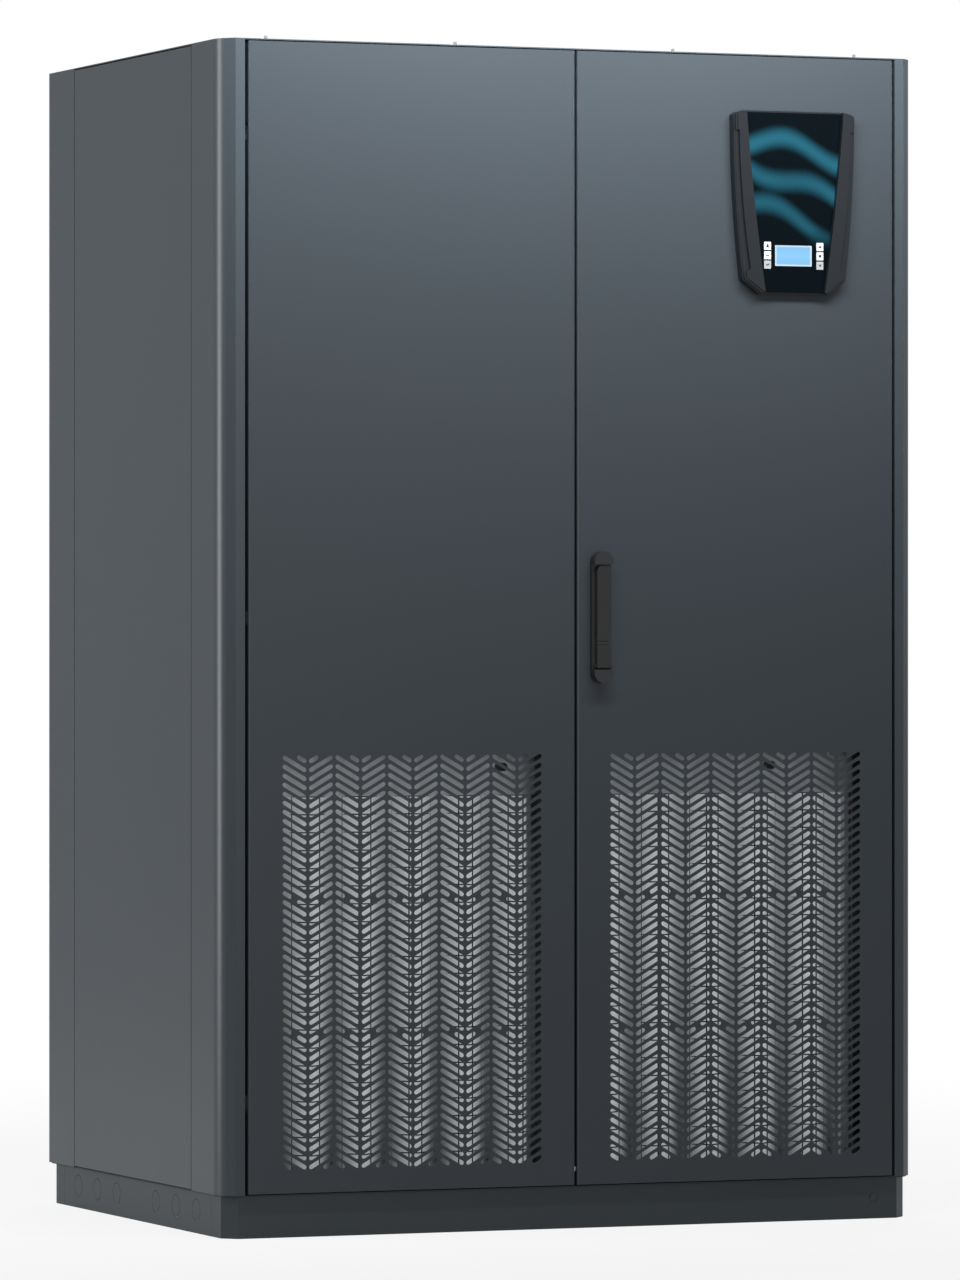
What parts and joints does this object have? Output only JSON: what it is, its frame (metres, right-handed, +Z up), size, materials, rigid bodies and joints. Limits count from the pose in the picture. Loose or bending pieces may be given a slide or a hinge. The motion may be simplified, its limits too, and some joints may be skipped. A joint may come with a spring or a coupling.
{
  "type": "in-row cooling unit",
  "caption": "Floor-standing computer-room cooling cabinet: front doors with chevron grilles over pleated filters, water coil, roof-discharging fans and a glass controller.",
  "frame": {"origin": "on the floor, at the middle of the bounding box", "axes": "+Z up, the doors face -Y, +X to the right when facing the doors"},
  "size_m": [1.27, 0.905, 1.999],
  "materials": {
    "dark_sheet": "satin powder coat, blue-grey",
    "door_sheet": "satin powder coat, dark blue-grey",
    "plinth": "satin powder coat, charcoal",
    "frame": "satin black paint",
    "galvanised": "galvanised sheet",
    "zinc": "zinc-plated steel",
    "rubber": "matt black",
    "insulation": "matt grey foam",
    "handle": "dark charcoal, semi-gloss",
    "cheek": "charcoal, fine grain",
    "glass_panel": "black glass look",
    "display": "light blue liquid crystal",
    "button": "white",
    "wheel": "dark grey moulding",
    "motor": "dark painted casting",
    "fins": "bare aluminium fins",
    "copper": "copper tube",
    "brass": "cast brass with a grey plastic motor",
    "media": "pleated filter fleece",
    "knob": "red"
  },
  "bodies": {
    "cabinet": {"plinth_front": "plinth", "plinth_rear": "plinth", "left_plinth_side": "plinth", "right_plinth_side": "plinth", "base_tray": "plinth", "left_front_post": "dark_sheet", "right_front_post": "dark_sheet", "left_rear_post": "dark_sheet", "right_rear_post": "dark_sheet", "front_rails": "frame", "roof_panel": "dark_sheet", "roof_bolts": "zinc", "left_side_panel": "dark_sheet", "right_side_panel": "dark_sheet", "side_insulation": "insulation", "rear_panel": "dark_sheet", "panel_screws": "zinc", "door_catch": "zinc", "hinge_brackets": "zinc", "rod_keepers": "zinc", "fan_deck": "galvanised", "fan_inlets": "galvanised", "fan_motors": "motor", "coil_fins": "fins", "coil_frame": "galvanised", "coil_pipes": "copper", "control_valve": "brass", "drip_tray": "galvanised", "filter_frames": "galvanised", "filter_media": "media", "filter_rails": "galvanised", "electrical_box": "galvanised"},
    "left_door": {"left_door_skin": "door_sheet", "left_door_lining": "insulation", "left_door_seal": "rubber", "left_hinge_sleeves": "zinc"},
    "right_door": {"right_door_skin": "door_sheet", "right_door_lining": "insulation", "right_door_seal": "rubber", "right_hinge_sleeves": "zinc", "rod_guides": "rubber", "handle_plate": "handle", "controller_body": "cheek", "controller_glass": "glass_panel", "controller_display": "display"},
    "handle_shaft": {"handle_spindle": "zinc"},
    "lever": {"handle_lever": "handle"},
    "flap": {"lock_flap": "handle"},
    "key_barrel": {"lock_barrel": "zinc"},
    "upper_lock_rod": {"upper_rod": "zinc"},
    "lower_lock_rod": {"lower_rod": "zinc"},
    "left_fan": {"left_fan_wheel": "wheel"},
    "right_fan": {"right_fan_wheel": "wheel"},
    "isolator": {"isolator_knob": "knob"},
    "key_left_top": {"button_left_top": "button"},
    "key_left_middle": {"button_left_middle": "button"},
    "key_left_bottom": {"button_left_bottom": "button"},
    "key_right_top": {"button_right_top": "button"},
    "key_right_middle": {"button_right_middle": "button"},
    "key_right_bottom": {"button_right_bottom": "button"}
  },
  "joints": [
    {"name": "left_door_hinge", "type": "hinge", "parent": "cabinet", "child": "left_door", "pos_m": [-0.5735, -0.4165, 1.03], "axis": [0, 0, -1], "range_deg": [0, 105]},
    {"name": "right_door_hinge", "type": "hinge", "parent": "cabinet", "child": "right_door", "pos_m": [0.5735, -0.4165, 1.03], "axis": [0, 0, 1], "range_deg": [0, 105]},
    {"name": "handle_turn", "type": "hinge", "parent": "right_door", "child": "handle_shaft", "pos_m": [0.043, -0.43, 1.107], "axis": [0, -1, 0], "range_deg": [0, 90]},
    {"name": "lever_lift", "type": "hinge", "parent": "handle_shaft", "child": "lever", "pos_m": [0.043, -0.4444, 1.114], "axis": [-1, 0, 0], "range_deg": [0, 60]},
    {"name": "flap_tilt", "type": "hinge", "parent": "right_door", "child": "flap", "pos_m": [0.043, -0.4444, 0.9485], "axis": [1, 0, 0], "range_deg": [0, 90]},
    {"name": "key_turn", "type": "hinge", "parent": "right_door", "child": "key_barrel", "pos_m": [0.043, -0.435, 0.9641], "axis": [0, -1, 0], "range_deg": [0, 90]},
    {"name": "upper_rod_slide", "type": "slide", "parent": "right_door", "child": "upper_lock_rod", "axis": [0, 0, -1], "range_m": [0, 0.01699]},
    {"name": "lower_rod_slide", "type": "slide", "parent": "right_door", "child": "lower_lock_rod", "axis": [0, 0, 1], "range_m": [0, 0.01699]},
    {"name": "left_fan_spin", "type": "hinge", "parent": "cabinet", "child": "left_fan", "pos_m": [-0.3095, 0.1425, 1.29], "axis": [0, 0, 1], "continuous": true},
    {"name": "right_fan_spin", "type": "hinge", "parent": "cabinet", "child": "right_fan", "pos_m": [0.3095, 0.1425, 1.29], "axis": [0, 0, 1], "continuous": true},
    {"name": "isolator_turn", "type": "hinge", "parent": "cabinet", "child": "isolator", "pos_m": [-0.38, -0.375, 1.7], "axis": [0, -1, 0], "range_deg": [0, 90]},
    {"name": "press_left_top", "type": "slide", "parent": "right_door", "child": "key_left_top", "axis": [0, 1, 0], "range_m": [0, 0.0008], "stiffness_N_per_m": 200},
    {"name": "press_left_middle", "type": "slide", "parent": "right_door", "child": "key_left_middle", "axis": [0, 1, 0], "range_m": [0, 0.0008], "stiffness_N_per_m": 200},
    {"name": "press_left_bottom", "type": "slide", "parent": "right_door", "child": "key_left_bottom", "axis": [0, 1, 0], "range_m": [0, 0.0008], "stiffness_N_per_m": 200},
    {"name": "press_right_top", "type": "slide", "parent": "right_door", "child": "key_right_top", "axis": [0, 1, 0], "range_m": [0, 0.0008], "stiffness_N_per_m": 200},
    {"name": "press_right_middle", "type": "slide", "parent": "right_door", "child": "key_right_middle", "axis": [0, 1, 0], "range_m": [0, 0.0008], "stiffness_N_per_m": 200},
    {"name": "press_right_bottom", "type": "slide", "parent": "right_door", "child": "key_right_bottom", "axis": [0, 1, 0], "range_m": [0, 0.0008], "stiffness_N_per_m": 200}
  ],
  "couplings": [
    {"joint": "upper_rod_slide", "follows": "handle_turn", "m_per_rad": 0.010804},
    {"joint": "lower_rod_slide", "follows": "handle_turn", "m_per_rad": 0.010804}
  ]
}
